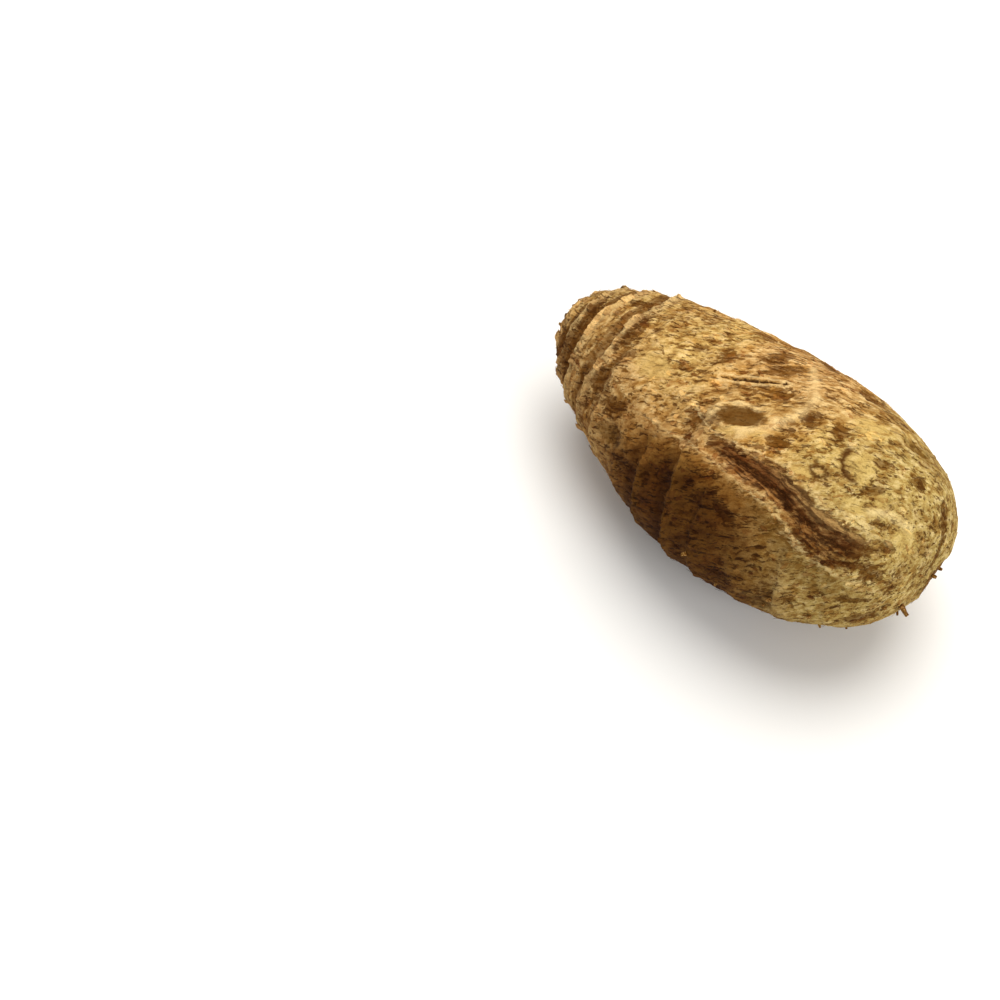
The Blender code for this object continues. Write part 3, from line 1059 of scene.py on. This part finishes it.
def stubPlaces():  # points on the skin with an outward direction, a length and a thickness each
    draw = random.Random(stubs["seed"])
    mesh = skin.data
    local = np.empty(len(mesh.vertices) * 3, dtype=np.float32)
    mesh.attributes["barkPlace"].data.foreach_get("vector", local)
    local = local.reshape(-1, 3)
    angle = angleRound(local)
    found = []
    for along, turned, long, thick in stubs["chosen"]:
        across = np.radians(turnBetween(angle, turned)) * stubs["usualRadius"]
        found.append((int(np.argmin(np.hypot(local[:, 0] - along, across))), long, thick))
    while len(found) < stubs["count"]:
        index = draw.randrange(len(mesh.vertices))
        along = local[index][0]
        liked = stubs["anywhere"] + stubs["atBase"] * max(0.0, along / growth["length"] - stubs["baseStarts"])
        liked = liked + (stubs["underneath"] if angle[index] > stubs["underAngle"] else 0.0)
        clear = mesh.vertices[index].co.z > stubs["lowest"] and along > stubs["firstAlong"]
        if clear and draw.random() < liked:
            found.append((index, draw.uniform(*stubs["length"]), draw.uniform(*stubs["thickness"])))
    places = bpy.data.meshes.new("stub_places")
    places.from_pydata([mesh.vertices[index].co for index, long, thick in found], [], [])
    writeOn(places, "outward", np.array([mesh.vertices[one[0]].normal for one in found]))
    writeOn(places, "length", np.array([one[1] for one in found]))
    writeOn(places, "thickness", np.array([one[2] for one in found]))
    return places


def stubTree(material):
    tree, sizes = geometryTree("root stubs", stubSizes)
    points = sizes["Geometry"]
    here = points.node("GeometryNodeInputPosition", {}, {})
    shape = {"Vertices": sizes["Sides"], "Side Segments": 4, "Radius Bottom": 1.0, "Depth": 1.0}
    shape["Radius Top"] = sizes["Blunt"]
    stub = points.node("GeometryNodeMeshCone", {"fill_type": "TRIANGLE_FAN"}, shape)
    spread = {0: [-stubs["lean"]] * 3, 1: [stubs["lean"]] * 3, 8: stubs["leanSeed"]}
    lean = points.node("FunctionNodeRandomValue", {"data_type": "FLOAT_VECTOR"}, spread, 0)
    outward = points.stored("outward", "FLOAT_VECTOR").vector("ADD", lean)
    facing = {"Primary Axis": outward, "Secondary Axis": (1.0, 0.0, 0.0)}
    rotation = points.node("FunctionNodeAxesToRotation", {"primary_axis": "Z", "secondary_axis": "X"}, facing)
    thick = points.stored("thickness")
    size = points.node("ShaderNodeCombineXYZ", {}, {0: thick, 1: thick, 2: points.stored("length")})
    placed = {"Points": points, "Instance": stub, "Rotation": rotation, "Scale": size}
    grown = points.node("GeometryNodeInstanceOnPoints", {}, placed)
    grown = points.node("GeometryNodeRealizeInstances", {}, {"Geometry": grown})
    crooked = {"Geometry": grown, "Offset": here.stir(stubs["knotty"]).times(sizes["Crooked"])}
    endTree(tree, points.node("GeometryNodeSetPosition", {}, crooked), material)
    return tree


def stubMaterial():
    material = startMaterial("root stub")
    spot = wire(material.node_tree, None).node("ShaderNodeTexCoord", {}, {}, 3)
    fine = spot.grain(0.0006, 3.0, 0.6)
    colour = spot.grain(0.006, 1.0).step(0.35, 0.65).blend(tones["brown"], tones["olive"])
    layers = (((1.0 - fine.step(0.36, 0.50)) * 0.6, "tan"), (fine.step(0.45, 0.65) * 0.7, "dark"))
    return endMaterial(material, layered(colour, layers), 0.75 + fine * 0.20, fine, stubFinish)


stubPiece = grow("root_stubs", stubPlaces(), stubTree(stubMaterial()), stubSizes)
keep(stubPiece)
print("root stubs made")


# floor, light and camera
studio = {
    "floorSize": 30.0,
    "floorColour": (0.90, 0.895, 0.88, 1.0),
    "floorCloud": (0.86, 0.855, 0.84, 1.0),
    "cloudSize": 0.5,
    "cloudShare": 0.05,
    "floorRough": 0.65,
    "lampAim": (0.0, 0.0, 0.05),
    "worldColour": (1.0, 0.995, 0.985, 1.0),
    "worldStrength": 0.46,
}
lamps = [
    {"name": "key", "from": (-0.45, 0.95, 2.70), "size": 3.0, "power": 91.0, "colour": (1.0, 0.97, 0.92)},
    {"name": "fill", "from": (2.6, -0.4, 1.6), "size": 1.4, "power": 34.0, "colour": (1.0, 0.99, 0.97)},
]
view = {
    "azimuth": 36.0,
    "elevation": 57.0,
    "distance": 1.2,
    "halfWidth": 0.205,  # half the picture's width, at the corm
    "aimHeight": 0.049,
    "cormInPicture": (729.05, 417.3),  # its middle, in a picture of 1000 by 1000
    "pictureMiddle": 500.0,
    "sensor": 36.0,
}


def makeFloor():
    bpy.ops.mesh.primitive_plane_add(size=studio["floorSize"])
    floor = bpy.context.object
    floor.name = "floor"
    material = startMaterial("studio floor")
    tree = material.node_tree
    shader = tree.nodes["Principled BSDF"]
    place = wire(tree, None).node("ShaderNodeTexCoord", {}, {}, 3)
    cloud = place.grain(studio["cloudSize"], 2.0).step(0.3, 0.7) * studio["cloudShare"]
    colour = cloud.blend(studio["floorColour"], studio["floorCloud"])
    tree.links.new(colour.socket, shader.inputs["Base Color"])
    shader.inputs["Roughness"].default_value = studio["floorRough"]
    floor.data.materials.append(material)


def makeLights():
    world = bpy.data.worlds.new("studio")
    bpy.context.scene.world = world
    world.use_nodes = True
    back = world.node_tree.nodes["Background"]
    back.inputs["Color"].default_value = studio["worldColour"]
    back.inputs["Strength"].default_value = studio["worldStrength"]
    for lamp in lamps:
        data = bpy.data.lights.new(lamp["name"], "AREA")
        data.shape = "DISK"
        data.size = lamp["size"]
        data.energy = lamp["power"]
        data.color = lamp["colour"]
        light = addObject(lamp["name"], data)
        light.location = lamp["from"]
        aim = Vector(studio["lampAim"]) - Vector(lamp["from"])
        light.rotation_euler = aim.to_track_quat("-Z", "Y").to_euler()


def makeCamera():
    turn, lift = math.radians(view["azimuth"]), math.radians(view["elevation"])
    back = Vector((math.sin(turn) * math.cos(lift), -math.cos(turn) * math.cos(lift), math.sin(lift)))
    right = Vector((math.cos(turn), math.sin(turn), 0.0))
    up = back.cross(right)
    reach = view["halfWidth"] / view["distance"]
    middle = view["pictureMiddle"]
    across, down = ((part - middle) / middle * reach for part in view["cormInPicture"])
    aim = -back - right * across + up * down
    data = bpy.data.cameras.new("camera")
    data.sensor_width = view["sensor"]
    data.lens = view["sensor"] / 2.0 / reach
    camera = addObject("camera", data)
    camera.location = Vector((0.0, 0.0, view["aimHeight"])) + back * view["distance"]
    camera.rotation_euler = aim.to_track_quat("-Z", "Y").to_euler()
    bpy.context.scene.camera = camera


makeFloor()
makeLights()
makeCamera()
bpy.context.scene.view_settings.view_transform = "Standard"
print("studio made")
